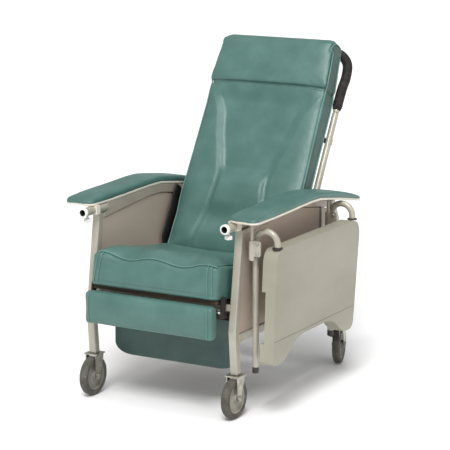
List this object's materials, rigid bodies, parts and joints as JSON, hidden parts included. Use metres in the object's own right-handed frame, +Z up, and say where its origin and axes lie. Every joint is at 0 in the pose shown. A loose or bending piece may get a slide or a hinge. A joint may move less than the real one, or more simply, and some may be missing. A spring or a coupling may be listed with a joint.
{
  "type": "patient recliner chair",
  "caption": "Padded patient recliner on swivel casters with a reclining back, a slide-out leg rest, padded armrests, a push bar and a side-stored tray.",
  "frame": {"origin": "bottom centre of the bounding box, on the floor", "axes": "+Z up, -Y is the way the sitter faces, +X is the side that the tray is stored on, which is the sitter's left"},
  "size_m": [0.732, 0.9616, 1.0957],
  "materials": {
    "frame_paint": "satin",
    "panel_plastic": "fine texture",
    "upholstery": "grained teal vinyl",
    "dark_upholstery": "grained dark teal vinyl",
    "arm_board_wood": "painted cream",
    "seat_board_wood": "plain",
    "tray_plastic": "fine texture",
    "dark_steel": "satin",
    "fork_steel": "satin",
    "tyre_rubber": "matt",
    "white_plastic": "satin",
    "grip_foam": "foam"
  },
  "bodies": {
    "frame": {"front_leg_left": "frame_paint", "front_leg_right": "frame_paint", "rear_leg_left": "frame_paint", "rear_leg_right": "frame_paint", "lower_rail_left": "frame_paint", "lower_rail_right": "frame_paint", "upper_rail_left": "frame_paint", "upper_rail_right": "frame_paint", "rear_post_left": "frame_paint", "rear_post_right": "frame_paint", "side_panel_left": "panel_plastic", "side_panel_right": "panel_plastic", "rear_panel_left": "panel_plastic", "rear_panel_right": "panel_plastic", "arm_board_left": "arm_board_wood", "arm_board_right": "arm_board_wood", "arm_pad_left": "upholstery", "arm_pad_right": "upholstery", "tray_socket_left": "frame_paint", "tray_socket_right": "frame_paint", "storage_bracket_front": "frame_paint", "storage_bracket_rear": "frame_paint", "recline_lug_left": "dark_steel", "recline_lug_right": "dark_steel", "seat_cushion": "upholstery", "seat_board": "seat_board_wood", "seat_rail_left": "frame_paint", "seat_rail_right": "frame_paint", "front_cross_tube": "frame_paint", "rear_cross_tube": "frame_paint"},
    "back": {"back_cushion": "upholstery", "headrest": "upholstery", "back_board": "dark_upholstery", "back_upright_left": "frame_paint", "back_upright_right": "frame_paint", "recline_plate_left": "dark_steel", "recline_plate_right": "dark_steel", "back_cross_tube": "frame_paint", "push_bar": "frame_paint", "push_grip": "grip_foam"},
    "legrest_carriage": {"legrest_carriage": "dark_steel"},
    "legrest_pad": {"legrest_pad": "upholstery", "legrest_pad_bracket": "dark_steel"},
    "calf_board": {"calf_board": "dark_upholstery"},
    "tray": {"tray_top": "tray_plastic", "tray_arm_front": "frame_paint", "tray_arm_rear": "frame_paint"},
    "knob_left": {"socket_knob_left": "white_plastic"},
    "knob_right": {"socket_knob_right": "white_plastic"},
    "fork_front_left": {"caster_fork_front_left": "fork_steel"},
    "wheel_front_left": {"caster_wheel_front_left": "tyre_rubber"},
    "fork_front_right": {"caster_fork_front_right": "fork_steel"},
    "wheel_front_right": {"caster_wheel_front_right": "tyre_rubber"},
    "fork_rear_left": {"caster_fork_rear_left": "fork_steel"},
    "wheel_rear_left": {"caster_wheel_rear_left": "tyre_rubber"},
    "pedal_rear_left": {"brake_pedal_rear_left": "dark_steel"},
    "fork_rear_right": {"caster_fork_rear_right": "fork_steel"},
    "wheel_rear_right": {"caster_wheel_rear_right": "tyre_rubber"},
    "pedal_rear_right": {"brake_pedal_rear_right": "dark_steel"}
  },
  "joints": [
    {"name": "back_recline", "type": "hinge", "parent": "frame", "child": "back", "pos_m": [-0.022, 0.04218, 0.4], "axis": [-1, 0, 0], "range_deg": [0, 38]},
    {"name": "legrest_slide", "type": "slide", "parent": "frame", "child": "legrest_carriage", "axis": [0, -0.989, 0.1478], "range_m": [0, 0.208]},
    {"name": "legrest_pad_fold", "type": "hinge", "parent": "legrest_carriage", "child": "legrest_pad", "pos_m": [-0.022, -0.42483, 0.33004], "axis": [-1, 0, 0], "range_deg": [0, 80]},
    {"name": "calf_board_fold", "type": "hinge", "parent": "legrest_carriage", "child": "calf_board", "pos_m": [-0.022, -0.30055, 0.29154], "axis": [-1, 0, 0], "range_deg": [0, 85]},
    {"name": "tray_pull_off", "type": "slide", "parent": "frame", "child": "tray", "axis": [1, 0, 0], "range_m": [0, 0.1]},
    {"name": "socket_knob_left_turn", "type": "hinge", "parent": "frame", "child": "knob_left", "pos_m": [-0.275, -0.40882, 0.57], "axis": [0, 0, 1], "continuous": true},
    {"name": "socket_knob_right_turn", "type": "hinge", "parent": "frame", "child": "knob_right", "pos_m": [0.231, -0.40882, 0.57], "axis": [0, 0, 1], "continuous": true},
    {"name": "swivel_front_left", "type": "hinge", "parent": "frame", "child": "fork_front_left", "pos_m": [-0.279, -0.37282, 0.135], "axis": [0, 0, 1], "continuous": true},
    {"name": "wheel_front_left_spin", "type": "hinge", "parent": "fork_front_left", "child": "wheel_front_left", "pos_m": [-0.279, -0.38282, 0.0635], "axis": [-1, 0, 0], "continuous": true},
    {"name": "swivel_front_right", "type": "hinge", "parent": "frame", "child": "fork_front_right", "pos_m": [0.235, -0.37282, 0.135], "axis": [0, 0, 1], "continuous": true},
    {"name": "wheel_front_right_spin", "type": "hinge", "parent": "fork_front_right", "child": "wheel_front_right", "pos_m": [0.235, -0.38282, 0.0635], "axis": [-1, 0, 0], "continuous": true},
    {"name": "swivel_rear_left", "type": "hinge", "parent": "frame", "child": "fork_rear_left", "pos_m": [-0.279, 0.32918, 0.135], "axis": [0, 0, 1], "continuous": true},
    {"name": "wheel_rear_left_spin", "type": "hinge", "parent": "fork_rear_left", "child": "wheel_rear_left", "pos_m": [-0.279, 0.33918, 0.0635], "axis": [1, 0, 0], "continuous": true},
    {"name": "brake_rear_left_press", "type": "hinge", "parent": "fork_rear_left", "child": "pedal_rear_left", "pos_m": [-0.279, 0.30418, 0.1315], "axis": [1, 0, 0], "range_deg": [0, 10]},
    {"name": "swivel_rear_right", "type": "hinge", "parent": "frame", "child": "fork_rear_right", "pos_m": [0.235, 0.32918, 0.135], "axis": [0, 0, 1], "continuous": true},
    {"name": "wheel_rear_right_spin", "type": "hinge", "parent": "fork_rear_right", "child": "wheel_rear_right", "pos_m": [0.23224, 0.3388, 0.0635], "axis": [0.9613, 0.2756, 0], "continuous": true},
    {"name": "brake_rear_right_press", "type": "hinge", "parent": "fork_rear_right", "child": "pedal_rear_right", "pos_m": [0.24189, 0.30515, 0.1315], "axis": [0.9613, 0.2756, 0], "range_deg": [0, 10]}
  ],
  "couplings": [
    {"joint": "legrest_slide", "follows": "back_recline", "m_per_rad": 0.31359},
    {"joint": "legrest_pad_fold", "follows": "back_recline", "ratio": 2.1051},
    {"joint": "calf_board_fold", "follows": "back_recline", "ratio": 2.2366}
  ]
}
